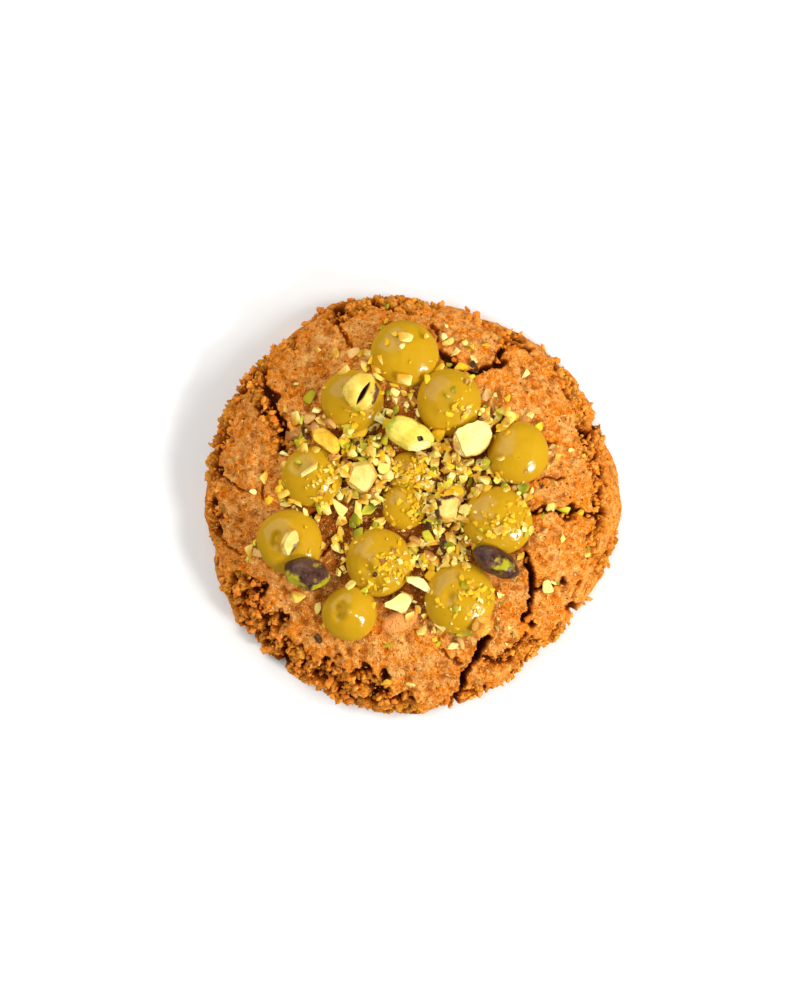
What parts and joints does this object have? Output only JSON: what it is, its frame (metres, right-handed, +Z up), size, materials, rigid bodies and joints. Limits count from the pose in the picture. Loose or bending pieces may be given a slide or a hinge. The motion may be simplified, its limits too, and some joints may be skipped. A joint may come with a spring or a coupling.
{
  "type": "pistachio cookie",
  "caption": "Thick round baked cookie with a cracked crust, topped with piped pistachio-cream kisses, whole and broken pistachio kernels and nut chips.",
  "frame": {"origin": "middle of the cookie's foot, on the surface it stands on", "axes": "+Z up through the cookie, from its flat foot to its toppings; the kiss that lies nearest the rim is towards +Y"},
  "size_m": [0.114, 0.1145, 0.0298],
  "materials": {
    "baked_dough": "baked cookie crust, orange brown, grainy, with darker broken crumb in its cracks",
    "pistachio_cream": "piped pistachio cream, mustard green, smooth and soft glossy",
    "pistachio_kernel": "peeled or broken pistachio, pale yellow green, satin",
    "green_kernel": "whole peeled pistachio, yellow green, satin",
    "kernel_skin": "pistachio in its thin purple brown skin, with green showing through",
    "caramelised_nut": "nut piece in glossy amber toffee"
  },
  "bodies": {
    "root": {"cookie": "baked_dough", "cream_kiss_01": "pistachio_cream", "cream_kiss_02": "pistachio_cream", "cream_kiss_03": "pistachio_cream", "cream_kiss_04": "pistachio_cream", "cream_kiss_05": "pistachio_cream", "cream_kiss_06": "pistachio_cream", "cream_kiss_07": "pistachio_cream", "cream_kiss_08": "pistachio_cream", "cream_kiss_09": "pistachio_cream", "cream_kiss_10": "pistachio_cream", "cream_kiss_11": "pistachio_cream", "cream_kiss_12": "pistachio_cream", "kernel_split": "pistachio_kernel", "kernel_whole": "green_kernel", "kernel_half": "pistachio_kernel", "kernel_chunk": "pistachio_kernel", "kernel_broken": "pistachio_kernel", "kernel_purple_left": "kernel_skin", "kernel_purple_right": "kernel_skin", "kernel_yellow": "pistachio_kernel", "kernel_toffee": "caramelised_nut", "kernel_slice": "pistachio_kernel", "kernel_sliver": "pistachio_kernel", "kernel_wedge": "pistachio_kernel"}
  },
  "joints": []
}
